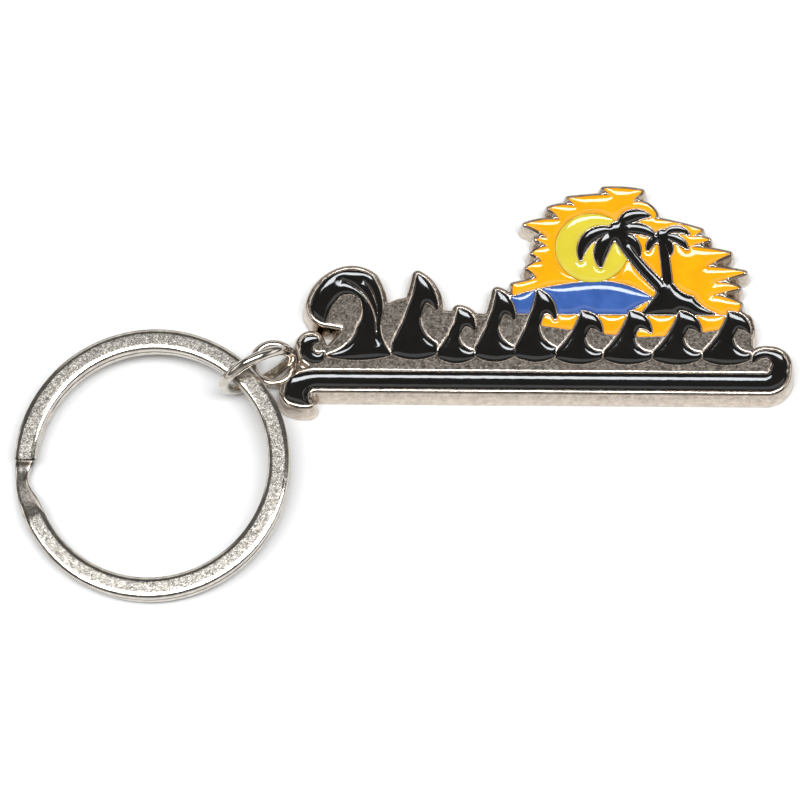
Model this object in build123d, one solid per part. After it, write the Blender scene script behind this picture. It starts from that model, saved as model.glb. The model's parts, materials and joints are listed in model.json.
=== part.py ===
from build123d import *
import math
import os

# A souvenir key ring: a die-cast tag with cells of hard enamel, a round-wire
# jump ring through the tag's eyelet, and a flat split ring for the keys.
# Millimetres. The tag lies flat, face up; X runs along its bar, Y up its picture.

# Driving dimensions -----------------------------------------------------
TAG_THICK = 3.0            # cast tag, back face to rim
CELL_FLOOR = 2.0           # height of the cell floors
ENAMEL_TOP = 2.85          # level of the hardened enamel
RIM = 0.68                 # flat border outside the dark cells
SKY_RIM = 0.42             # narrower border outside the sky's rays
RIDGE = 0.27               # cast line between two cells
FINE_RIDGE = 0.14          # cast line round the sun
SMALLEST_CELL = 0.22       # mm2, anything smaller is left as metal

BAR_TOP = -1.25            # dark bar under the picture
BAR_BOTTOM = -3.08
WATER_LINE = 5.7           # line between sea and sand

EYE_X, EYE_Y = 0.2, 0.0    # centre of the eyelet
EYE_HOLE_R = 1.85
EYE_OUTER_R = 2.65
EYE_BOTTOM, EYE_TOP = 1.32, 2.3
EYE_CORNER = 0.3           # rounding of the eyelet's section
NECK_CUT_R = 2.72          # room for the jump ring round the eyelet

JUMP_OD = 9.1
JUMP_WIRE = 1.15
JUMP_TURN = 27.0           # plan direction of the jump ring's plane, degrees
JUMP_S, JUMP_N = -2.30, -0.75   # its centre from the eyelet, along and across
JUMP_GAP = 0.05            # butt cut between the wire's ends
JUMP_CUT_AT = -60.0        # where round the ring that cut sits, degrees

SPLIT_OD = 30.0
SPLIT_BAND = 2.33          # radial width of the flattened wire
SPLIT_COIL = 1.15          # thickness of one coil
SPLIT_CORNER = 0.25        # rounding of the wire's edges
SPLIT_GAP = 0.08           # air between the two coils
SPLIT_X, SPLIT_Y = -12.7, -12.1   # plan centre
SPLIT_LEAN_DIR = 44.0      # direction of its raised side, degrees
SPLIT_RISE = 2.95          # how far that side is off the ground
JOG_START, JOG_END = 182.0, 205.0  # where the wire steps from coil to coil
SPLIT_END_GAP = 3.0        # degrees between each free end and the step
JOG_STEPS = 6

# bridge between plate and eyelet
NECK = [(1.60, -1.30, 0.0), (4.20, -1.30, 0.0), (4.20, 1.40, 0.0), (1.60, 1.40, 0.0)]

SUN_X, SUN_Y, SUN_R = 34.95, 13.35, 3.98


# Outlines ---------------------------------------------------------------
def outline(points, dx=0.0, dy=0.0, sx=1.0, sy=1.0):
    """Closed face from (x, y, bow) points taken anticlockwise. bow is how far
    the side to the next point swells outwards; a negative bow is hollow."""
    spots = [(x * sx + dx, y * sy + dy, bow) for x, y, bow in points]
    sides = []
    for (x0, y0, bow), (x1, y1, _) in zip(spots, spots[1:] + spots[:1]):
        if abs(bow) < 1e-6:
            sides.append(Line((x0, y0), (x1, y1)))
            continue
        run = math.hypot(x1 - x0, y1 - y0)
        mid = ((x0 + x1) / 2 + bow * (y1 - y0) / run, (y0 + y1) / 2 - bow * (x1 - x0) / run)
        sides.append(ThreePointArc((x0, y0), mid, (x1, y1)))
    return make_face(Wire(sides))


def grown(face, amount):
    """The face with a border of this width, round at its outer corners."""
    return offset(face, amount=amount, kind=Kind.ARC)


def joined(faces):
    whole = Sketch() + faces[0]
    for face in faces[1:]:
        whole = whole + face
    return whole


def without(base, cutters):
    left = base
    for cutter in cutters:
        left = left - cutter
    return left


# The dark wave pattern ----------------------------------------------------
SMALL_WAVE = [
    (0.00, 0.60, 0.65), (5.20, 0.60, 0.00), (5.25, 1.20, -1.15), (3.95, 4.35, -0.15),
    (5.25, 3.75, 0.72), (2.95, 6.25, -0.30), (0.05, 1.30, 0.00),
]
WAVE_ROW = [  # left foot x, width factor, height factor
    (13.10, 0.93, 1.60), (18.10, 0.76, 0.97), (22.20, 0.80, 1.31), (26.50, 0.84, 1.34),
    (31.00, 0.95, 0.94), (36.20, 0.98, 0.95), (41.60, 0.98, 0.95), (47.00, 0.98, 0.95),
]
BREAKER = [
    (6.10, 0.60, 0.50), (12.95, 0.80, -0.60), (11.95, 5.60, 0.35), (10.90, 9.70, 0.42),
    (7.60, 10.35, 0.60), (4.30, 6.90, 0.60), (5.80, 4.50, -0.25), (7.05, 7.20, -0.65),
    (9.60, 7.20, -0.45), (9.30, 3.90, -0.70),
]
BREAKER_BACK = BREAKER[:6]
HOLLOW_FILL = [(5.80, 4.50, 0.00), (9.30, 3.90, -0.70)]  # cast metal under the breaker's curl
FOAM_LINES = [
    [(11.25, 2.40, 1.75), (7.30, 9.45, -1.43)],
    [(11.50, 4.90, 0.66), (9.80, 9.40, -0.40)],
]
SPRAY_CURL = [
    (3.25, 1.50, 0.85), (5.45, -0.05, 0.10), (5.65, 0.95, -0.30), (4.50, 1.15, -0.35),
    (5.15, 2.20, 0.55), (3.45, 2.45, 0.15),
]
SPRAY_BACK = SPRAY_CURL[:2] + [(5.65, 0.95, 0.00)] + SPRAY_CURL[4:]
BAR = [
    (1.55, -3.50, 0.30), (2.45, -4.75, 0.12), (4.15, -4.95, -0.12), (3.95, -3.85, -0.28),
    (4.90, BAR_BOTTOM, 0.00), (53.60, BAR_BOTTOM, 0.85), (56.05, -0.60, 0.70),
    (54.30, 1.50, 0.25), (52.55, 0.95, 0.00), (52.35, 0.15, -0.12), (53.90, 0.80, -0.30),
    (54.45, -0.30, -0.05), (54.05, BAR_TOP, 0.00), (4.90, BAR_TOP, 0.12), (2.30, -1.85, 0.18),
]

# The picture ----------------------------------------------------------------
RAYS = [
    (29.00, 9.75, -0.10), (27.85, 10.95, 0.16), (29.50, 11.70, -0.10), (28.42, 12.70, 0.16),
    (30.15, 13.45, -0.08), (28.85, 14.30, 0.08), (30.10, 14.50, -0.18), (27.65, 16.05, 0.22),
    (31.45, 16.60, -0.14), (30.25, 17.95, 0.26), (33.20, 18.15, -0.06), (32.35, 19.15, 0.05),
    (37.00, 19.55, -0.06), (36.25, 20.30, 0.14), (40.45, 20.05, -0.08), (39.40, 18.75, 0.50),
    (41.95, 17.40, 0.12), (41.70, 16.80, 0.10), (46.95, 15.50, 0.08), (45.70, 14.75, 0.10),
    (47.75, 14.40, -0.05), (45.50, 13.55, 0.10), (50.05, 12.80, -0.12), (47.45, 11.20, 0.08),
    (51.65, 10.60, -0.10), (48.35, 9.35, 0.18), (51.00, 8.80, -0.06), (48.05, 7.90, 0.14),
    (51.10, 6.95, 0.12),
]
SKY_FOOT = [(50.60, WATER_LINE, 0.00), (26.30, WATER_LINE, 0.00), (26.30, 9.00, -0.05)]
SEA = [
    (25.50, WATER_LINE, 0.00), (38.60, WATER_LINE, -0.15), (41.45, 7.50, 0.55),
    (35.30, 9.35, 0.40), (25.50, 7.20, 0.00),
]
SAND_TOP = WATER_LINE - RIDGE
SAND = [
    (29.00, 4.35, 0.00), (29.80, 4.25, 0.10), (40.10, 3.10, 0.28), (50.60, 4.40, 0.00),
    (50.60, SAND_TOP, 0.00), (26.00, SAND_TOP, 0.00), (28.30, 5.10, -0.30),
]
MOUND = [
    (40.30, WATER_LINE, 0.00), (48.40, WATER_LINE, -0.28), (45.90, 7.65, -0.28),
    (43.75, 9.10, 0.10), (42.20, 8.70, -0.12), (41.60, 7.35, -0.10),
]
LEFT_TRUNK = [(37.35, 14.70, 0.25), (42.20, 8.30, 0.00), (43.10, 9.00, -0.30), (38.15, 15.10, 0.00)]
RIGHT_TRUNK = [(42.25, 14.60, -0.10), (42.80, 8.80, 0.00), (43.65, 8.80, 0.10), (42.90, 14.60, 0.00)]
LEFT_CROWN = (37.80, 15.30)
LEFT_CROWN_R = 1.0
LEFT_FRONDS = [  # tip x, tip y, swell of the leaf's back, swell of its edge
    (33.70, 11.90, 2.05, 0.85), (35.90, 11.10, 1.50, 0.10), (41.30, 17.10, -1.55, -0.25),
    (42.00, 14.60, -1.25, -0.15), (40.15, 12.40, -0.95, 0.00),
]
RIGHT_CROWN = (42.70, 14.85)
RIGHT_CROWN_R = 0.6
RIGHT_FRONDS = [
    (45.60, 15.00, -1.00, -0.35), (45.40, 13.30, -0.80, -0.05), (43.50, 12.60, -0.60, 0.00),
    (41.05, 13.05, 0.70, 0.05),
]
FILLER = [  # plain cast metal that joins the dark waves to the bar
    (4.00, -2.00, 0.00), (53.80, -2.00, 0.00), (53.80, 0.60, 0.00), (52.60, 1.60, 0.00),
    (52.60, 4.90, 0.30), (51.60, 5.90, 0.00), (30.00, 7.00, 0.00), (24.60, 7.50, 0.00),
    (23.40, 5.70, 0.00), (17.50, 6.20, 0.00), (16.50, 8.00, 0.00), (13.60, 7.30, 0.00),
    (8.90, 5.30, 0.00), (7.20, 3.20, 0.00), (5.50, 1.20, 0.00), (4.00, -0.40, 0.00),
]


def frond(crown, leaf):
    """A crescent leaf from the crown to its tip."""
    tip_x, tip_y, back, edge = leaf
    return outline([(crown[0], crown[1], back), (tip_x, tip_y, -edge)])


def palm_pieces():
    pieces = [outline(MOUND), outline(LEFT_TRUNK), outline(RIGHT_TRUNK)]
    left = (LEFT_CROWN, LEFT_FRONDS, LEFT_CROWN_R)
    right = (RIGHT_CROWN, RIGHT_FRONDS, RIGHT_CROWN_R)
    for crown, leaves, size in (left, right):
        pieces.append(Pos(*crown) * Circle(size))
        pieces += [frond(crown, leaf) for leaf in leaves]
    return pieces


def wave_faces():
    """The dark pattern: a breaker and its spray, a row of waves, the bar."""
    waves = {}
    for number, (foot, wide, tall) in enumerate(WAVE_ROW, 1):
        waves[f"wave_{number}"] = outline(SMALL_WAVE, dx=foot, sx=wide, sy=tall)
    waves["breaker"] = without(outline(BREAKER), [outline(line) for line in FOAM_LINES])
    waves["spray_curl"] = outline(SPRAY_CURL)
    waves["bar"] = outline(BAR)
    return waves


def sky_face():
    return outline([(x, y, -bow) for x, y, bow in RAYS + SKY_FOOT])


def cells():
    """Every enamel cell in the plan, as a name and a face. What lies in front
    is taken out of what lies behind, with a ridge of metal left between."""
    waves = wave_faces()
    palms = palm_pieces()
    in_front = [grown(face, RIDGE) for face in waves.values()]
    trees = without(joined(palms), in_front)
    in_front += [grown(face, RIDGE) for face in palms]
    sun = Pos(SUN_X, SUN_Y) * Circle(SUN_R)
    sea = outline(SEA)
    behind = in_front + [Pos(SUN_X, SUN_Y) * Circle(SUN_R + FINE_RIDGE), grown(sea, RIDGE)]
    layers = {
        "palms": trees, "sun": without(sun, in_front), "sea": without(sea, in_front),
        "sand": without(outline(SAND), in_front), "sky": without(sky_face(), behind),
    }
    named = dict(waves)
    for colour, layer in layers.items():
        faces = [face for face in layer.faces() if face.area > SMALLEST_CELL]
        faces.sort(key=lambda face: -face.area)
        for number, face in enumerate(faces, 1):
            named[colour if len(faces) == 1 else f"{colour}_{number}"] = face
    return named


def plate_face():
    """The tag seen from above, without its eyelet."""
    borders = wave_faces()
    borders["breaker"] = outline(BREAKER_BACK + HOLLOW_FILL)
    borders["spray_curl"] = outline(SPRAY_BACK)
    pieces = [outline(FILLER), grown(sky_face(), SKY_RIM)]
    pieces += [grown(face, RIM) for face in borders.values()]
    return Sketch() + [Face(face.outer_wire()) for face in joined(pieces).faces()]


# Solids -----------------------------------------------------------------------
def prism(face, bottom, top):
    return extrude(Pos(0, 0, bottom) * face, amount=top - bottom)


def ring_section(middle_radius, across, tall, corner):
    """Rounded rectangle in the XZ plane, for turning about Z."""
    return Plane.XZ * Pos(middle_radius, 0) * RectangleRounded(across, tall, corner)


def eyelet():
    """The cast loop at the tag's left end, and the neck that carries it."""
    middle = (EYE_HOLE_R + EYE_OUTER_R) / 2
    height = (EYE_BOTTOM + EYE_TOP) / 2
    section = ring_section(middle, EYE_OUTER_R - EYE_HOLE_R, EYE_TOP - EYE_BOTTOM, EYE_CORNER)
    loop = Pos(EYE_X, EYE_Y, height) * revolve(section, Axis.Z)
    neck = prism(outline(NECK), 0, CELL_FLOOR) - Pos(EYE_X, EYE_Y) * Cylinder(middle, 3 * TAG_THICK)
    return loop + neck


def tag_body(named):
    """Cast tag: a plate with one pocket for each cell, and the eyelet."""
    plate = plate_face() - Pos(EYE_X, EYE_Y) * Circle(NECK_CUT_R)
    plate = max(plate.faces(), key=lambda face: face.area)
    body = prism(plate, 0, TAG_THICK)
    for face in named.values():
        body = body - prism(face, CELL_FLOOR, TAG_THICK + 1)
    return body + eyelet()


def jump_place():
    """Where the jump ring stands, upright through the eyelet."""
    turn = math.radians(JUMP_TURN)
    x = EYE_X + JUMP_S * math.cos(turn) - JUMP_N * math.sin(turn)
    y = EYE_Y + JUMP_S * math.sin(turn) + JUMP_N * math.cos(turn)
    return Pos(x, y, JUMP_OD / 2) * Rot(Z=JUMP_TURN)


def jump_ring():
    """Round wire bent to a ring, upright, with its cut turned to the back."""
    radius = (JUMP_OD - JUMP_WIRE) / 2
    opening = math.degrees(JUMP_GAP / radius)
    section = Plane.XZ * Pos(radius, 0) * Circle(JUMP_WIRE / 2)
    wire = revolve(section, Axis.Z, revolution_arc=360 - opening)
    return jump_place() * Rot(X=90) * Rot(Z=JUMP_CUT_AT) * wire


def split_place():
    """Where the split ring lies, its far side lifted by the jump ring."""
    lean = math.degrees(math.asin(SPLIT_RISE / (SPLIT_OD - SPLIT_BAND)))
    half = SPLIT_COIL + SPLIT_GAP / 2
    centre_z = half * math.cos(math.radians(lean)) + SPLIT_OD / 2 * math.sin(math.radians(lean))
    tilt = Rot(Z=SPLIT_LEAN_DIR) * Rot(Y=-lean) * Rot(Z=-SPLIT_LEAN_DIR)
    return Pos(SPLIT_X, SPLIT_Y, centre_z) * tilt


def split_ring():
    """One flattened wire in two coils, joined by a step over a short arc."""
    radius = (SPLIT_OD - SPLIT_BAND) / 2
    lift = (SPLIT_COIL + SPLIT_GAP) / 2
    section = ring_section(radius, SPLIT_BAND, SPLIT_COIL, SPLIT_CORNER)
    arc = 360 - (JOG_END - JOG_START) - SPLIT_END_GAP
    upper = Pos(0, 0, lift) * Rot(Z=JOG_END) * revolve(section, Axis.Z, revolution_arc=arc)
    lower = Pos(0, 0, -lift) * Rot(Z=JOG_START - arc) * revolve(section, Axis.Z, revolution_arc=arc)
    steps = []
    for part in range(JOG_STEPS + 1):
        share = part / JOG_STEPS
        angle = JOG_START + share * (JOG_END - JOG_START)
        height = lift * (2 * share - 1)
        steps.append(Pos(0, 0, height) * Rot(Z=angle) * section)
    return split_place() * (upper + lower + loft(steps, ruled=True))


def assemble():
    """All nodes, moved so that the origin is under the middle of their box."""
    named = cells()
    nodes = {"tag_body": tag_body(named)}
    for name, face in named.items():
        nodes[f"enamel_{name}"] = prism(face, CELL_FLOOR, ENAMEL_TOP)
    nodes["jump_ring"] = jump_ring()
    nodes["split_ring"] = split_ring()
    boxes = [solid.bounding_box() for solid in nodes.values()]
    middle_x = (min(box.min.X for box in boxes) + max(box.max.X for box in boxes)) / 2
    middle_y = (min(box.min.Y for box in boxes) + max(box.max.Y for box in boxes)) / 2
    to_origin = Pos(-middle_x, -middle_y, -min(box.min.Z for box in boxes))
    return {name: to_origin * solid for name, solid in nodes.items()}, to_origin


if __name__ == "__main__":
    os.makedirs("parts", exist_ok=True)
    made, _ = assemble()
    for node, solid in made.items():
        export_step(solid, f"parts/{node}.step")
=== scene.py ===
"""Looks of the souvenir key ring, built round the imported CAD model.

The enamel pools and the cast tag are rebuilt as fine meshes from the outlines of
their CAD nodes: enamel gets a hollow, liquid-looking surface and the casting gets
rounded edges and leaning walls. The two rings are swept along their wires.
Lengths are worked out in millimetres and turned into metres as a mesh is made.
"""

import json
import math

import bpy
import numpy as np
from mathutils import Matrix, Vector, kdtree
from mathutils.geometry import delaunay_2d_cdt


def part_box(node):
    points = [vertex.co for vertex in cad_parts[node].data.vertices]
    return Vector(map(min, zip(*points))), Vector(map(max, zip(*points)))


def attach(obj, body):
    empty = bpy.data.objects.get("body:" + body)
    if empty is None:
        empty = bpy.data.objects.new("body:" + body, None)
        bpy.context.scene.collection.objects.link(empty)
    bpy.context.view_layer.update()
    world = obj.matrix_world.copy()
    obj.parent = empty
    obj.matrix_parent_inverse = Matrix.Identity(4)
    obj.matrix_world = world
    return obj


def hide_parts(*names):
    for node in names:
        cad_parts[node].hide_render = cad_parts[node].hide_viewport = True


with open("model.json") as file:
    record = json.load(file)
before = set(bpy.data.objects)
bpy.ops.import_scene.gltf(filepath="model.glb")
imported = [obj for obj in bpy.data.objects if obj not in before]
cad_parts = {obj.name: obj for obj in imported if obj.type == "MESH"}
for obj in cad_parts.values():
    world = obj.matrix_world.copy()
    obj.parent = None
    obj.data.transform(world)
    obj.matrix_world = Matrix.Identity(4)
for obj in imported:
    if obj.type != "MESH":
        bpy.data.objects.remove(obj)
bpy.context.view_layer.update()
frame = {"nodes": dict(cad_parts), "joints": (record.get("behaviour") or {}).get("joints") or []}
MM = 0.001


def top_of(node):
    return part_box(node)[1][2] / MM


TOP = top_of("tag_body")  # the tag's face
ENAMEL_LEVEL = top_of("enamel_bar")

# Outlines and surfaces
STEP = 0.075  # spacing of points along an outline
ROUND_PASSES = 3  # smoothing that takes the knife edge off corners
CELL_ROUND = 0.30  # radius of the casting's edge round a pool
OUTER_ROUND = 0.50  # height of the casting's rounded outer edge
OUTER_REACH = 0.55  # and its width
WALL_LEAN = 0.34  # how far the outer wall stands out at its foot
RIM_DULL = 0.6  # share of dull grain along the top of the outer wall
POCKET_DEPTH = 0.75
CONTACT_DROP = 0.20  # from the tag's face down to where enamel meets metal
TUCK = 0.03  # how far enamel reaches in under the rounded metal
MENISCUS_DEPTH = 0.36  # how far the middle of a wide pool lies below its rim
MENISCUS_REACH = 0.50  # the liquid's capillary length
POOL_ROWS = (0.03, 0.08, 0.15, 0.24, 0.34, 0.45, 0.57, 0.7, 0.85, 1.0)  # mesh rows in from the outline
PLATE_ROWS = (0.03, 0.07, 0.12, 0.19, 0.27, 0.36, 0.46)

# Eyelet
EYELET_MID = 2.25  # radius to the middle of the loop's band
EYELET_HALF_W, EYELET_HALF_H, EYELET_CORNER = 0.4, 0.49, 0.34
EYELET_LEVEL = 1.81
NECK_LOW, NECK_HIGH = -1.3, 1.4  # the bridge's sides, beside the eye
NECK_END = 4.2  # how far it runs into the plate
NECK_TOP = 2.0
NECK_ROUND = 0.3

# Split ring
BAND_HALF_W, BAND_HALF_H = 1.165, 0.575
BAND_FLAT = 0.60  # half width of the sandblasted middle
BAND_CROWN, BAND_LEAN, BAND_CORNER = 1.10, math.radians(24), 0.20
COIL_RADIUS = 13.835
COIL_LEVEL = 0.615  # each coil's height from the middle of the ring
COIL_FROM_EYE = (-12.9, -12.1)
REST_LIFT, REST_RADIUS = 1.19, 15.0  # the low side's height, and how far it is from the middle
RING_LEAN = math.asin(2.95 / 27.67)  # the high side lies on the jump ring's wire
LEAN_TOWARDS = 44  # degrees
CLIMB_FROM, CLIMB = 182, 23  # where the wire climbs from coil to coil, degrees
LOW_COIL, HIGH_COIL = 334, 332  # how far each coil runs on from the climb, degrees
PINCH, PINCH_AT, PINCH_SPREAD = 0.95, 186, 8.5
SHADE_UNDER_END_AT, SHADE_UNDER_END_SPREAD = 178.5, 2.0  # painted shade: the wire under the upper end, darkened where the end shadows it
BARE_AND_PAINTED_SHADE = 2.0  # grain value of bare cut metal, darkened to near black: partly the cut face's own colour, partly painted shade

# Jump ring
JUMP_RADIUS, WIRE_RADIUS = 3.975, 0.575
JUMP_TURN = math.radians(27)
JUMP_BACK, JUMP_ASIDE = 2.30, 0.75  # from the eye to its middle
JUMP_HEIGHT = 4.55
JUMP_CUT, JUMP_CUT_AT = 0.09, -60
CUT_BEVEL = 0.03


# Outlines ---------------------------------------------------------------------
def top_loops(node, level):
    """The closed outlines of a node's faces at one height, material on the left."""
    mesh = frame["nodes"][node].data
    coords = np.array([v.co for v in mesh.vertices]) / MM
    merged = {}
    ids = [merged.setdefault(tuple(np.round(p, 4)), len(merged)) for p in coords]
    points = np.array(list(merged))
    flat = np.abs(coords[:, 2] - level) < 0.004
    sides = set()
    for polygon in mesh.polygons:
        if all(flat[v] for v in polygon.vertices):
            ring = [ids[v] for v in polygon.vertices]
            sides.update(zip(ring, ring[1:] + ring[:1]))
    following = {a: b for a, b in sides if (b, a) not in sides}
    loops = []
    while following:
        start, here = following.popitem()
        loop = [start]
        while here != start:
            loop.append(here)
            here = following.pop(here)
        loops.append(points[loop][:, :2])
    return sorted(loops, key=lambda loop: -abs(signed_area(loop)))


def signed_area(loop):
    x, y = loop[:, 0], loop[:, 1]
    return 0.5 * np.sum(x * np.roll(y, -1) - y * np.roll(x, -1))


def even_loop(loop, step=STEP, passes=ROUND_PASSES):
    """The outline as evenly spaced points, with its corners a little rounded."""
    closed = np.vstack([loop, loop[:1]])
    run = np.concatenate([[0], np.cumsum(np.linalg.norm(np.diff(closed, axis=0), axis=1))])
    count = max(16, int(round(run[-1] / step)))
    spots = np.arange(count) * run[-1] / count
    even = np.column_stack([np.interp(spots, run, closed[:, axis]) for axis in (0, 1)])
    for _ in range(passes):
        even = 0.25 * np.roll(even, 1, 0) + 0.5 * even + 0.25 * np.roll(even, -1, 0)
    return even


def left_normals(loop):
    along = np.roll(loop, -1, 0) - np.roll(loop, 1, 0)
    along /= np.linalg.norm(along, axis=1)[:, None] + 1e-12
    return np.column_stack([-along[:, 1], along[:, 0]])


class Border:
    """Nearest distance and side for a set of outlines with material on the left."""

    def __init__(self, loops):
        self.points = np.vstack(loops)
        self.normals = np.vstack([left_normals(loop) for loop in loops])
        self.tree = kdtree.KDTree(len(self.points))
        for index, (x, y) in enumerate(self.points):
            self.tree.insert((x, y, 0), index)
        self.tree.balance()

    def distance(self, spots):
        """Distance from each spot to the nearest side of the outlines."""
        found = [self.tree.find((x, y, 0)) for x, y in spots]
        index = np.array([hit[1] for hit in found])
        straight = np.array([hit[2] for hit in found])
        across = np.abs(np.sum((spots - self.points[index]) * self.normals[index], axis=1))
        return np.where(straight < 1.5 * STEP, across, straight)


# Surfaces -----------------------------------------------------------------------
def enclosed(triangles, walls):
    """Which triangles lie inside, counting how often a path from outside crosses a wall."""
    beside = {}
    for number, (a, b, c) in enumerate(triangles):
        for side in ((a, b), (b, c), (c, a)):
            beside.setdefault((min(side), max(side)), []).append(number)
    touching = [[] for _ in triangles]
    state = [None] * len(triangles)
    waiting = []
    for side, owners in beside.items():
        if len(owners) == 2:
            touching[owners[0]].append((owners[1], side in walls))
            touching[owners[1]].append((owners[0], side in walls))
        elif state[owners[0]] is None:
            state[owners[0]] = side in walls
            waiting.append(owners[0])
    while waiting:
        here = waiting.pop()
        for other, crossing in touching[here]:
            if state[other] is None:
                state[other] = state[here] != crossing
                waiting.append(other)
    return np.array(state, bool)


def triangulate(loops, extra):
    """Vertices, triangles inside the outlines, and each outline's point numbers."""
    starts = np.cumsum([0] + [len(loop) for loop in loops])
    rings = [list(range(a, b)) for a, b in zip(starts, starts[1:])]
    sides = [(a, b) for ids in rings for a, b in zip(ids, ids[1:] + ids[:1])]
    points = np.vstack(loops + [extra])
    made = delaunay_2d_cdt([Vector(p) for p in points], sides, [], 0, 1e-7)
    spots = np.array([tuple(v) for v in made[0]])
    triangles = np.array(made[2])
    walls = {(min(edge), max(edge)) for edge, source in zip(made[1], made[4]) if source}
    triangles = triangles[enclosed(triangles.tolist(), walls)]
    where = {old: new for new, olds in enumerate(made[3]) for old in olds}
    rings = [[where[i] for i in ids] for ids in rings]
    used = np.unique(np.concatenate([triangles.ravel()] + [np.array(ids) for ids in rings]))
    renumber = np.full(len(spots), -1)
    renumber[used] = np.arange(len(used))
    return spots[used], renumber[triangles], [renumber[ids].tolist() for ids in rings]


def fill_points(loops, border, rows, spacing):
    """Rows of points that follow the outlines inwards, then an even field."""
    rings = []
    for loop in loops:
        inwards = left_normals(loop)
        for depth in rows:
            ring = loop + inwards * depth
            clear = border.distance(ring) > 0.93 * depth
            stagger = np.arange(len(ring)) % max(1, int(round(depth / 0.3))) == 0
            rings.append(ring[clear & stagger])
    low, high = border.points.min(0), border.points.max(0)
    columns = np.arange(low[0], high[0], spacing)
    lines = np.arange(low[1], high[1], spacing * 0.866)
    grid = np.array([(x + (i % 2) * spacing / 2, y) for i, y in enumerate(lines) for x in columns])
    rings.append(grid[border.distance(grid) > rows[-1] + 0.45 * spacing])
    return np.vstack(rings)


def surface(loops, rows, spacing):
    """Vertices, triangles and outline ids of a finely meshed flat region."""
    border = Border(loops)
    spots, triangles, ids = triangulate(loops, fill_points(loops, border, rows, spacing))
    return spots, triangles, ids, border


def meniscus(spots, triangles, fixed, start, reach, rounds=160):
    """Share of the full climb at each point of a liquid held at its edges: the
    liquid's own balance of weight and surface tension, solved over the mesh."""
    weights = np.zeros(0)
    ends, others = np.zeros(0, int), np.zeros(0, int)
    corners = [spots[triangles[:, i]] for i in range(3)]
    area = np.zeros(len(spots))
    for i in range(3):
        a, b, c = corners[i], corners[(i + 1) % 3], corners[(i + 2) % 3]
        u, v = a - c, b - c
        cross = np.abs(u[:, 0] * v[:, 1] - u[:, 1] * v[:, 0]) + 1e-12
        cot = np.clip(0.5 * np.sum(u * v, axis=1) / cross, 0.0, 5.0)
        weights = np.concatenate([weights, cot, cot])
        first, second = triangles[:, i], triangles[:, (i + 1) % 3]
        ends = np.concatenate([ends, first, second])
        others = np.concatenate([others, second, first])
        area += np.bincount(triangles[:, i], cross / 6, len(spots))
    total = np.bincount(ends, weights, len(spots)) + area / reach**2 + 1e-12
    climb = start
    for _ in range(rounds):
        pulled = np.bincount(ends, weights * climb[others], len(spots)) / total
        climb = np.where(fixed, 1.0, pulled)
    return climb


def rounded_drop(distance, radius, reach):
    """How far an edge of this height and width has dropped at this distance from its border."""
    inward = np.clip(1 - distance / reach, 0, 1)
    return radius * (1 - np.sqrt(1 - inward**2))


def make_object(name, points, faces, material, body, stands_for=(), grain=None, sharp=35):
    mesh = bpy.data.meshes.new(name)
    mesh.from_pydata((np.asarray(points) * MM).tolist(), [], [list(map(int, f)) for f in faces])
    mesh.validate()
    mesh.polygons.foreach_set("use_smooth", [True] * len(mesh.polygons))
    mesh.set_sharp_from_angle(angle=math.radians(sharp))
    if grain is not None:
        mesh.attributes.new("grain", "FLOAT", "POINT").data.foreach_set("value", grain)
    mesh.materials.append(material)
    piece = bpy.data.objects.new(name, mesh)
    bpy.context.scene.collection.objects.link(piece)
    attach(piece, body)
    if stands_for:
        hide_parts(*stands_for)
    return piece


def strip(first, second):
    """Quads between two closed rows of point numbers of equal length."""
    return [
        (a, b, d, c)
        for a, b, c, d in zip(first, first[1:] + first[:1], second, second[1:] + second[:1])
    ]


# Enamel ---------------------------------------------------------------------------
def enamel_pool(node, material):
    """One pool: a hollow surface that climbs the metal, on a closed underside."""
    loops = [even_loop(loop) for loop in top_loops(node, ENAMEL_LEVEL)]
    loops = [loop - TUCK * left_normals(loop) for loop in loops]
    spots, triangles, ids, border = surface(loops, POOL_ROWS, 0.22)
    edge = np.zeros(len(spots), bool)
    edge[[i for ring in ids for i in ring]] = True
    start = np.exp(-border.distance(spots) / MENISCUS_REACH)
    climb = meniscus(spots, triangles, edge, start, MENISCUS_REACH)
    height = TOP - CONTACT_DROP - MENISCUS_DEPTH * (1 - climb)
    points = np.column_stack([spots, height])
    low = TOP - POCKET_DEPTH + 0.01
    under = np.column_stack([spots, np.full(len(spots), low)])
    count = len(points)
    faces = [tuple(t) for t in triangles] + [(a + count, c + count, b + count) for a, b, c in triangles]
    for ring in ids:
        faces += [(b, a, c, d) for a, b, d, c in strip(ring, [i + count for i in ring])]
    return make_object(node.replace("enamel", "pool"), np.vstack([points, under]), faces, material,
                       "tag", (node,))


# The cast tag -----------------------------------------------------------------------
def outer_room(loop, border, reach):
    """How far each point of the outline can move outwards before two sides meet."""
    outwards = -left_normals(loop)
    room = np.full(len(loop), reach)
    for share in np.linspace(1, 0.1, 10):
        reached = share * reach
        blocked = border.distance(loop + outwards * reached) < 0.9 * reached
        room = np.where(blocked & (room >= reached - 1e-9), reached - 0.1 * reach, room)
    for _ in range(6):
        room = np.minimum(room, 0.5 * room + 0.25 * (np.roll(room, 1) + np.roll(room, -1)))
    return np.maximum(room, 0), outwards


def pocket_floor(loop, row):
    """Triangles over a pocket, whose outline runs with the pocket on its right."""
    _, triangles, ids = triangulate([loop[::-1]], np.zeros((0, 2)))
    number = {new: row[::-1][old] for old, new in enumerate(ids[0])}
    return [tuple(number[i] for i in t) for t in triangles if all(i in number for i in t)]


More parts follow.
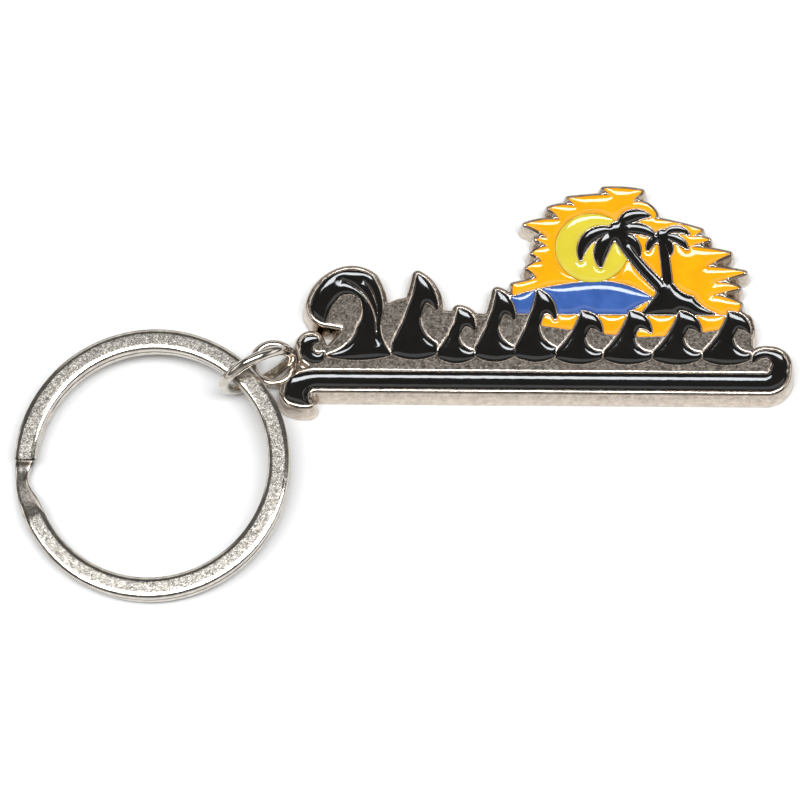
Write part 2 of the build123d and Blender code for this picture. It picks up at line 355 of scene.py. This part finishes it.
def tag_plate(material):
    """The casting: ridged face, pockets, leaning outer wall and flat back."""
    loops = [even_loop(loop) for loop in top_loops("tag_body", TOP)]
    spots, triangles, ids, _ = surface(loops, PLATE_ROWS, 0.28)
    outer_border = Border(loops[:1])
    to_outer = outer_border.distance(spots)
    to_outer[ids[0]] = 0
    distance = Border(loops[1:]).distance(spots)
    distance[[i for ring in ids[1:] for i in ring]] = 0
    drop = np.maximum(rounded_drop(distance, CELL_ROUND, CELL_ROUND),
                      rounded_drop(to_outer, OUTER_ROUND, OUTER_REACH))
    edge = np.zeros(len(spots), bool)
    edge[[i for ring in ids for i in ring]] = True
    height = TOP - drop
    points = [np.column_stack([spots, height])]
    flat = np.clip((distance - 0.1) / 0.08, 0, 1) * np.clip((to_outer - 0.2) / 0.1, 0.2, 1)
    grain = [np.where(edge, 0, flat)]
    grain[0][ids[0]] = RIM_DULL
    faces = [tuple(t) for t in triangles]
    count = len(spots)

    def add_row(loop, level, dull=0.0):
        nonlocal count
        row = list(range(count, count + len(loop)))
        points.append(np.column_stack([loop, np.full(len(loop), level)]))
        grain.append(np.full(len(loop), dull))
        count += len(loop)
        return row

    outline = loops[0]
    room, outwards = outer_room(outline, outer_border, WALL_LEAN)
    above = ids[0]
    for share, dull in ((0.12, RIM_DULL), (0.35, 0.5 * RIM_DULL), (0.65, 0.0), (0.93, 0.0)):
        level = (TOP - OUTER_ROUND) * (1 - share)
        row = add_row(outline + outwards * (room * (0.1 + 0.9 * share))[:, None], level, dull)
        faces += [(a, c, d, b) for a, b, d, c in strip(above, row)]
        above = row
    foot = outline + outwards * (room * 0.86)[:, None]
    back_spots, back_faces, back_ids, _ = surface([foot], (0.15, 0.4), 1.0)
    back_grain = np.full(len(back_spots), 0.9)
    back_grain[back_ids[0]] = 0
    points.append(np.column_stack([back_spots, np.zeros(len(back_spots))]))
    grain.append(back_grain)
    faces += [tuple(count + i for i in reversed(t)) for t in back_faces]
    row = [count + i for i in back_ids[0]]
    count += len(back_spots)
    faces += [(a, c, d, b) for a, b, d, c in strip(above, row)]
    for ring, loop in zip(ids[1:], loops[1:]):
        row = add_row(loop, TOP - POCKET_DEPTH)
        faces += [(a, c, d, b) for a, b, d, c in strip(ring, row)]
        faces += pocket_floor(loop, row)
    return make_object("tag_casting", np.vstack(points), faces, material, "tag",
                       ("tag_body",), np.concatenate(grain), 50)


def eyelet_loop(material):
    """The cast loop: a thick ring with well rounded edges."""
    outline, grain = rounded_box(EYELET_HALF_W, EYELET_HALF_H, EYELET_CORNER, 5, 2)
    points, faces, shades = [], [], []
    count = 120
    for turn in range(count):
        angle = 2 * math.pi * turn / count
        for (out, up), shade in zip(outline, grain):
            reach = EYELET_MID + out
            points.append((EYE[0] + reach * math.cos(angle), EYE[1] + reach * math.sin(angle),
                           EYELET_LEVEL + up))
            shades.append(0.55 * shade)
    rows = [list(range(i * len(outline), (i + 1) * len(outline))) for i in range(count)]
    for row, after in zip(rows, rows[1:] + rows[:1]):
        faces += [(a, b, d, c) for a, b, d, c in strip(row, after)]
    return make_object("eyelet_loop", points, faces, material, "tag", (), shades, 60)


def eyelet_neck(material):
    """The bridge from the plate to the loop, with rounded edges and a flat back."""
    back = [(NECK_END, NECK_LOW), (NECK_END, NECK_HIGH)]
    reach = [math.degrees(math.asin(side / EYELET_MID)) for side in (NECK_HIGH, NECK_LOW)]
    arc = [(EYELET_MID * math.cos(math.radians(a)), EYELET_MID * math.sin(math.radians(a)))
           for a in np.linspace(reach[0], reach[1], 9)]
    outline = np.array(back + arc) + EYE
    loop = even_loop(outline, 0.1, 4)
    spots, triangles, ids, border = surface([loop], (0.05, 0.11, 0.18, 0.27), 0.25)
    distance = border.distance(spots)
    distance[ids[0]] = 0
    top = np.column_stack([spots, NECK_TOP - rounded_drop(distance, NECK_ROUND, NECK_ROUND)])
    count = len(spots)
    under = np.column_stack([spots, np.zeros(count)])
    faces = [tuple(t) for t in triangles] + [(a + count, c + count, b + count) for a, b, c in triangles]
    faces += [(b, a, c, d) for a, b, d, c in strip(ids[0], [i + count for i in ids[0]])]
    return make_object("eyelet_neck", np.vstack([top, under]), faces, material, "tag",
                       (), [0.0] * (2 * count), 50)


# The rings ------------------------------------------------------------------------------
def rounded_box(half_w, half_h, corner, corner_steps, flat_steps):
    """A rounded rectangle's points, and how much each belongs to a flat top or bottom."""
    points, shades = [], []
    middles = [(1, 1, 0), (-1, 1, 90), (-1, -1, 180), (1, -1, 270)]
    for side_x, side_y, first in middles:
        for step in range(corner_steps + 1):
            angle = math.radians(first + 90 * step / corner_steps)
            points.append((side_x * (half_w - corner) + corner * math.cos(angle),
                           side_y * (half_h - corner) + corner * math.sin(angle)))
            shades.append(0.0)
        if first in (0, 180):
            inner = half_w - corner
            for share in np.linspace(-1, 1, flat_steps + 2)[1:-1]:
                at = share * (inner - 0.1)
                points.append((-side_x * at, side_y * half_h))
                shades.append(1.0)
    return points, shades


def crowned_box(half_w, half_h, flat_w, crown, lean, corner):
    """A wire flattened top and bottom: a flat middle, a crown down to each side, round corners."""
    quarter, shades = [(0.0, half_h), (0.6 * flat_w, half_h), (flat_w, half_h)], [1.0, 1.0, 1.0]
    for step in range(1, 6):
        angle = lean * step / 5
        quarter.append((flat_w + crown * math.sin(angle), half_h - crown * (1 - math.cos(angle))))
        shades.append(max(0.0, 1.0 - step / 3))
    side, level = quarter[-1]
    middle = (side - corner * math.sin(lean), level - corner * math.cos(lean))
    for step in range(1, 6):
        angle = lean + (math.pi / 2 - lean) * step / 5
        quarter.append((middle[0] + corner * math.sin(angle), middle[1] + corner * math.cos(angle)))
        shades.append(0.0)
    widen = half_w / quarter[-1][0]
    quarter = [(u * widen, v) for u, v in quarter]
    right = quarter + [(u, -v) for u, v in reversed(quarter)]
    left = [(-u, -v) for u, v in right[1:-1]]
    both = shades + shades[::-1]
    return (right + left)[::-1], (both + both[1:-1])[::-1]


def sweep(stations, section, shades, pinches=None, painted_shades=None):
    """Skin through one section at each station (centre, outward, upward).
    A pinch moves the section's inner side outwards by that much, and the last list is painted
    shade that darkens the wire towards the near-black bare finish."""
    half = max(u for u, _ in section)
    points = []
    for number, (centre, outward, upward) in enumerate(stations):
        pinch = pinches[number] if pinches else 0.0
        for u, v in section:
            across = u + pinch * (half - u) / (2 * half)
            points.append(centre + outward * across + upward * v)
    size = len(section)
    rows = [list(range(i * size, (i + 1) * size)) for i in range(len(stations))]
    faces = []
    for row, after in zip(rows, rows[1:]):
        faces += [(a, c, d, b) for a, b, d, c in strip(row, after)]
    painted_shades = painted_shades or [0.0] * len(stations)
    grain = [max(shade, painted_shade) for painted_shade in painted_shades for shade in shades]
    for row, at, sense in ((rows[0], 0, -1), (rows[-1], -1, 1)):
        centre, outward, upward = stations[at]
        along = np.cross(outward, upward) * sense
        start = len(points)
        points += [centre + 0.9 * (outward * u + upward * v) + CUT_BEVEL * along for u, v in section]
        # cut ends: bare cut metal, painted near-black, partly as painted shade in the gap at the cut
        grain += [BARE_AND_PAINTED_SHADE] * size
        rim = list(range(start, start + size))
        side = strip(row, rim)
        faces += [(a, b, d, c) if sense < 0 else (a, c, d, b) for a, b, d, c in side]
        faces.append(tuple(rim) if sense < 0 else tuple(reversed(rim)))
    return points, faces, grain


def split_ring(material):
    """One flattened wire in two coils, joined by a short step."""
    towards = math.radians(LEAN_TOWARDS)
    tilt = (Matrix.Rotation(towards, 3, "Z") @ Matrix.Rotation(-RING_LEAN, 3, "Y")
            @ Matrix.Rotation(-towards, 3, "Z"))
    tilt = np.array(tilt)
    height = REST_LIFT * math.cos(RING_LEAN) + REST_RADIUS * math.sin(RING_LEAN)
    middle = np.array([EYE[0] + COIL_FROM_EYE[0], EYE[1] + COIL_FROM_EYE[1], height])
    stations, pinches, painted_shades = [], [], []
    for angle in np.arange(CLIMB_FROM - LOW_COIL, CLIMB_FROM + CLIMB + HIGH_COIL + 0.5, 1.0):
        share = np.clip((angle - CLIMB_FROM) / CLIMB, 0, 1)
        climbed = 0.25 * share + 0.75 * share**2 * (3 - 2 * share)
        level = COIL_LEVEL * (2 * climbed - 1)
        turn = math.radians(angle)
        outward = np.array([math.cos(turn), math.sin(turn), 0.0])
        spot = COIL_RADIUS * outward + np.array([0, 0, level])
        stations.append((middle + tilt @ spot, tilt @ outward, tilt @ np.array([0, 0, 1.0])))
        pinches.append(PINCH * math.exp(-(((angle - PINCH_AT) / PINCH_SPREAD) ** 2)))
        # painted shade: darkens the lower coil just under the upper end, where shadow falls
        painted_shades.append(BARE_AND_PAINTED_SHADE * math.exp(-(((angle - SHADE_UNDER_END_AT) / SHADE_UNDER_END_SPREAD) ** 4)))
    section, shades = crowned_box(BAND_HALF_W, BAND_HALF_H, BAND_FLAT, BAND_CROWN, BAND_LEAN, BAND_CORNER)
    points, faces, grain = sweep(stations, section, shades, pinches, painted_shades)
    return make_object("split_ring_wire", points, faces, material, "split_ring",
                       ("split_ring",), grain, 40)


def jump_ring(material):
    """Round wire, upright, its two ends butted."""
    flat = np.array([math.cos(JUMP_TURN), math.sin(JUMP_TURN), 0.0])
    across = np.array([-math.sin(JUMP_TURN), math.cos(JUMP_TURN), 0.0])
    middle = np.array([EYE[0], EYE[1], JUMP_HEIGHT]) - JUMP_BACK * flat - JUMP_ASIDE * across
    stations = []
    half_cut = math.degrees(JUMP_CUT / JUMP_RADIUS) / 2
    for angle in np.linspace(JUMP_CUT_AT + half_cut, JUMP_CUT_AT + 360 - half_cut, 200):
        at = math.radians(angle)
        outward = flat * math.cos(at) + np.array([0, 0, math.sin(at)])
        stations.append((middle + JUMP_RADIUS * outward, outward, across))
    section = [(WIRE_RADIUS * math.cos(a), WIRE_RADIUS * math.sin(a))
               for a in np.linspace(0, 2 * math.pi, 25)[:-1]]
    points, faces, grain = sweep(stations, section, [0.0] * len(section))
    return make_object("jump_ring_wire", points, faces, material, "jump_ring",
                       ("jump_ring",), grain, 50)


# Materials ---------------------------------------------------------------------------------
class Nodes:
    """Short hand for building one material's node tree. Scales are per millimetre."""

    def __init__(self, name):
        self.material = bpy.data.materials.new(name)
        self.material.use_nodes = True
        self.tree = self.material.node_tree
        self.shader = self.tree.nodes["Principled BSDF"]
        self.place = self.tree.nodes.new("ShaderNodeTexCoord").outputs["Object"]

    def link(self, source, target):
        self.tree.links.new(source, target)

    def noise(self, per_mm, detail=3.0, rough=0.6):
        node = self.tree.nodes.new("ShaderNodeTexNoise")
        node.inputs["Scale"].default_value = per_mm / MM
        node.inputs["Detail"].default_value = detail
        node.inputs["Roughness"].default_value = rough
        self.link(self.place, node.inputs["Vector"])
        return node.outputs["Fac"]

    def spread(self, value, low, high, to_low=0.0, to_high=1.0):
        node = self.tree.nodes.new("ShaderNodeMapRange")
        limits = {"From Min": low, "From Max": high, "To Min": to_low, "To Max": to_high}
        for socket, number in limits.items():
            node.inputs[socket].default_value = number
        self.link(value, node.inputs["Value"])
        return node.outputs["Result"]

    def maths(self, operation, first, second):
        node = self.tree.nodes.new("ShaderNodeMath")
        node.operation = operation
        for socket, value in zip(node.inputs, (first, second)):
            if isinstance(value, (int, float)):
                socket.default_value = value
            else:
                self.link(value, socket)
        return node.outputs[0]

    def grain(self):
        node = self.tree.nodes.new("ShaderNodeAttribute")
        node.attribute_name = "grain"
        return node.outputs["Fac"]

    def colours(self, share, first, second):
        node = self.tree.nodes.new("ShaderNodeMix")
        node.data_type = "RGBA"
        node.inputs["A"].default_value = (*first, 1)
        node.inputs["B"].default_value = (*second, 1)
        self.link(share, node.inputs["Factor"])
        return node.outputs["Result"]

    def blend(self, share, first, second):
        node = self.tree.nodes.new("ShaderNodeMix")
        node.data_type = "RGBA"
        self.link(share, node.inputs["Factor"])
        self.link(first, node.inputs["A"])
        self.link(second, node.inputs["B"])
        return node.outputs["Result"]

    def bump(self, height, depth_mm):
        node = self.tree.nodes.new("ShaderNodeBump")
        node.inputs["Distance"].default_value = depth_mm * MM
        node.inputs["Strength"].default_value = 1.0
        self.link(height, node.inputs["Height"])
        self.link(node.outputs["Normal"], self.shader.inputs["Normal"])


def enamel(name, colour, deep):
    """Hardened enamel: glassy, slightly uneven in tone, with a faint ripple."""
    n = Nodes(name)
    tone = n.spread(n.noise(0.45, 2.0), 0.35, 0.65)
    n.link(n.colours(tone, colour, deep), n.shader.inputs["Base Color"])
    n.link(n.spread(n.noise(2.5, 4.0), 0.3, 0.7, 0.05, 0.12), n.shader.inputs["Roughness"])
    n.shader.inputs["IOR"].default_value = 1.58
    ripple = n.maths("ADD", n.noise(0.9, 1.0), n.maths("MULTIPLY", n.noise(7.0, 2.0), 0.05))
    n.bump(ripple, 0.02)
    return n.material


def nickel(name, bright, dull, pits, flat_rough, edge_rough, per_mm, depth):
    """Nickel plate: bright on edges and walls, sandblasted where the mesh says grain."""
    n = Nodes(name)
    share = n.grain()
    fine = n.noise(per_mm, 2.0, 0.6)
    coarse = n.noise(per_mm * 0.45, 3.0, 0.6)
    speckle = n.spread(fine, 0.43, 0.57)
    blasted = n.blend(speckle, n.colours(n.spread(coarse, 0.35, 0.65), pits, dull),
                      n.colours(n.spread(coarse, 0.3, 0.7), dull, bright))
    polished = n.colours(n.spread(n.noise(1.1, 4.0), 0.35, 0.7), bright, dull)
    plated = n.blend(n.spread(share, 0, 1, 0, 0.9), polished, blasted)
    # grain above 1 blends to near-black bare metal: the cut ends, darkened partly as painted shade, and
    # the painted shade under the upper end
    bare_and_painted_shade = n.colours(fine, (0.05, 0.04, 0.03), (0.09, 0.075, 0.06))
    n.link(n.blend(n.spread(share, 1, BARE_AND_PAINTED_SHADE), plated, bare_and_painted_shade), n.shader.inputs["Base Color"])
    n.shader.inputs["Metallic"].default_value = 1.0
    wear = n.spread(n.noise(3.0, 5.0, 0.7), 0.35, 0.7, -0.04, 0.08)
    blast = n.spread(share, RIM_DULL, 1)
    rough = n.maths("ADD", n.spread(blast, 0, 1, edge_rough, flat_rough), wear)
    n.link(rough, n.shader.inputs["Roughness"])
    relief = n.maths("ADD", n.maths("MULTIPLY", fine, n.spread(blast, 0, 1, 0.08, 1.0)),
                     n.maths("MULTIPLY", n.noise(0.8, 2.0), 0.18))
    n.bump(relief, depth)
    return n.material


def floor_material():
    n = Nodes("studio_white")
    tone = n.colours(n.noise(0.02), (0.630, 0.616, 0.602), (0.640, 0.626, 0.612))
    n.link(tone, n.shader.inputs["Base Color"])
    n.shader.inputs["Roughness"].default_value = 0.6
    n.shader.inputs["Specular IOR Level"].default_value = 0.2
    return n.material


# The pieces -----------------------------------------------------------------------------------
swing = next(joint for joint in frame["joints"] if joint["name"] == "jump_ring_swing")
EYE = np.array(swing["pos_m"][:2]) / MM

ORANGE = enamel("enamel_orange_glaze", (0.75, 0.308, 0.001), (0.70, 0.272, 0.001))
YELLOW = enamel("enamel_yellow_glaze", (0.53, 0.43, 0.034), (0.50, 0.40, 0.028))
BLUE = enamel("enamel_blue_glaze", (0.038, 0.094, 0.300), (0.028, 0.072, 0.245))
BLACK = enamel("enamel_black_glaze", (0.0030, 0.0026, 0.0022), (0.0048, 0.0042, 0.0036))
CAST = nickel("cast_nickel_plate", (0.70, 0.61, 0.52), (0.44, 0.37, 0.31), (0.125, 0.10, 0.086),
              0.22, 0.11, 4.2, 0.015)
WIRE = nickel("ring_nickel_plate", (0.71, 0.65, 0.575), (0.43, 0.39, 0.345), (0.10, 0.09, 0.08),
              0.22, 0.11, 5.6, 0.008)

FINISHES = {"sun": (YELLOW, "enamel_yellow"), "sea": (BLUE, "enamel_blue"),
            "sand": (ORANGE, "enamel_orange"), "sky": (ORANGE, "enamel_orange")}
for node in sorted(frame["nodes"]):
    if node.startswith("enamel_"):
        glaze, slot = FINISHES.get(node.split("_")[1], (BLACK, "enamel_black"))
        enamel_pool(node, glaze)
tag_plate(CAST)
eyelet_loop(CAST)
eyelet_neck(CAST)
split_ring(WIRE)
jump_ring(WIRE)


# Floor, light and camera --------------------------------------------------------------------------
def floor():
    half = 3.0
    mesh = bpy.data.meshes.new("studio_floor")
    corners = [(-half, -half, 0), (half, -half, 0), (half, half, 0), (-half, half, 0)]
    mesh.from_pydata(corners, [], [(0, 1, 2, 3)])
    mesh.materials.append(floor_material())
    plane = bpy.data.objects.new("studio_floor", mesh)
    bpy.context.scene.collection.objects.link(plane)
    plane.location.z = -0.00002


def softbox(name, place, aim, width, depth, radiance, colour=(1, 1, 1)):
    """A rectangular soft light with an even surface brightness."""
    data = bpy.data.lights.new(name, "AREA")
    data.shape = "RECTANGLE"
    data.size, data.size_y = width, depth
    data.energy = radiance * width * depth * math.pi
    data.color = colour
    lamp = bpy.data.objects.new(name, data)
    lamp.location = place
    lamp.rotation_euler = (Vector(aim) - Vector(place)).to_track_quat("-Z", "Y").to_euler()
    bpy.context.scene.collection.objects.link(lamp)


def studio():
    world = bpy.data.worlds.new("studio")
    world.use_nodes = True
    world.node_tree.nodes["Background"].inputs["Color"].default_value = (1, 1, 1, 1)
    world.node_tree.nodes["Background"].inputs["Strength"].default_value = 0.14
    bpy.context.scene.world = world
    height = 2.5
    front, back = -18.0, 1.0  # how far the overhead box reaches, degrees from straight up
    near, far = (height * math.tan(math.radians(a)) for a in (front, back))
    middle = (near + far) / 2
    softbox("overhead_box", (0.0, middle, height), (0.0, middle, 0.0), 1.07 * height, far - near,
            16.0, (0.93, 0.97, 1.0))
    softbox("front_fill", (0.0, -0.90, 0.30), (0.0, 0.0, 0.0), 1.3, 0.30, 0.45, (1.0, 0.97, 0.93))
    softbox("back_card", (0.0, 0.75, 0.60), (0.0, 0.0, 0.0), 1.3, 0.40, 0.9)
    for side in (-1, 1):
        softbox("side_card", (side * 0.9, 0.0, 0.45), (0.0, 0.0, 0.0), 0.8, 0.4, 1.2)


def camera():
    data = bpy.data.cameras.new("camera")
    data.sensor_width = 36.0
    distance, view_width = 0.6, 0.0869
    data.lens = data.sensor_width * distance / view_width
    data.clip_start, data.clip_end = 0.05, 20
    eye = bpy.data.objects.new("camera", data)
    target = Vector((-0.0005, -0.0013, 0.0029))
    elevation, yaw = math.radians(71), math.radians(0.45)
    flat = math.cos(elevation)
    away = Vector((flat * math.sin(yaw), -flat * math.cos(yaw), math.sin(elevation)))
    eye.location = target + away * distance
    eye.rotation_euler = (-away).to_track_quat("-Z", "Y").to_euler()
    bpy.context.scene.collection.objects.link(eye)
    bpy.context.scene.camera = eye


floor()
studio()
camera()
bpy.context.scene.view_settings.view_transform = "Standard"
